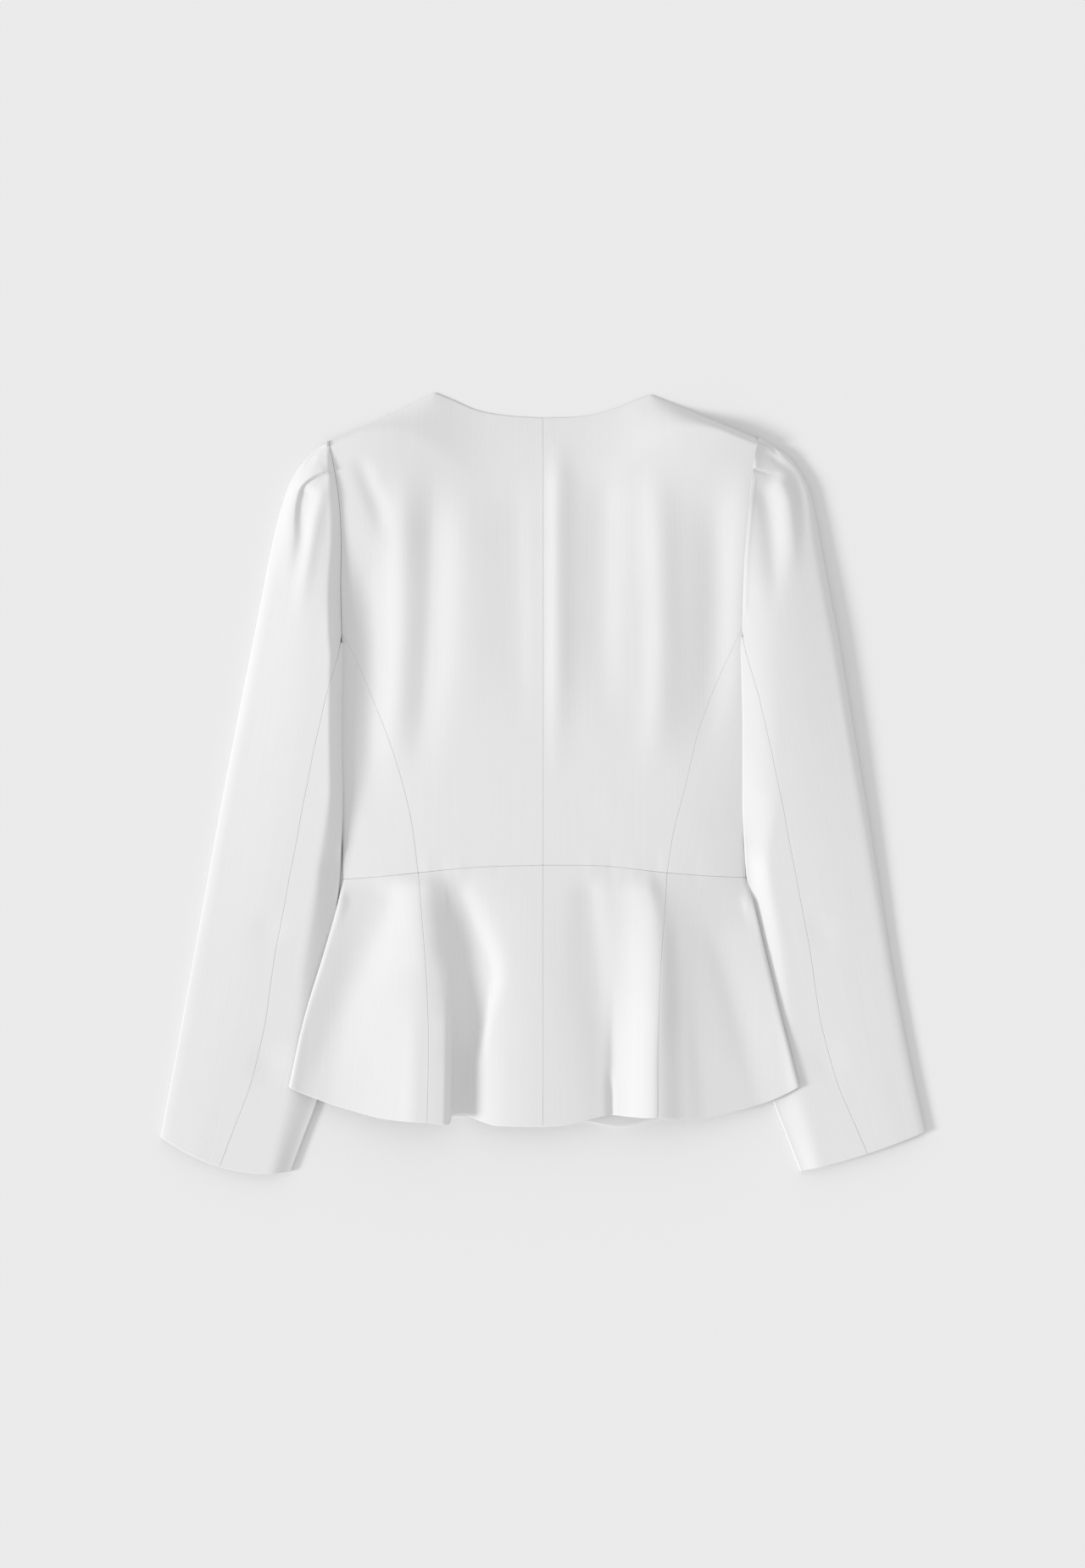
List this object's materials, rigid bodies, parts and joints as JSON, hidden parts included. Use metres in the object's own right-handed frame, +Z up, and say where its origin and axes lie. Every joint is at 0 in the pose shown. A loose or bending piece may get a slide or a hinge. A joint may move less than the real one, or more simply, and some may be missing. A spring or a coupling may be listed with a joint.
{
  "type": "peplum jacket",
  "caption": "Fitted collarless jacket laid flat with its back up: princess seams, pleated sleeve heads, long two-piece sleeves and a flared peplum below a waist seam.",
  "frame": {"origin": "on the table under the middle of the laid-out jacket", "axes": "+X from the wearer's left sleeve to the right one, +Y from the hem to the neck, +Z up from the table through the cloth"},
  "size_m": [0.6595, 0.6707, 0.0294],
  "materials": {
    "white_suiting": "fine smooth matte weave with a soft sheen"
  },
  "bodies": {
    "root": {"back_left": "white_suiting", "back_right": "white_suiting", "side_back_left": "white_suiting", "side_back_right": "white_suiting", "front_left": "white_suiting", "front_right": "white_suiting", "peplum_back_left": "white_suiting", "peplum_back_right": "white_suiting", "peplum_side_back_left": "white_suiting", "peplum_side_back_right": "white_suiting", "peplum_front_left": "white_suiting", "peplum_front_right": "white_suiting", "top_sleeve_left": "white_suiting", "top_sleeve_right": "white_suiting", "under_sleeve_left": "white_suiting", "under_sleeve_right": "white_suiting"}
  },
  "joints": []
}
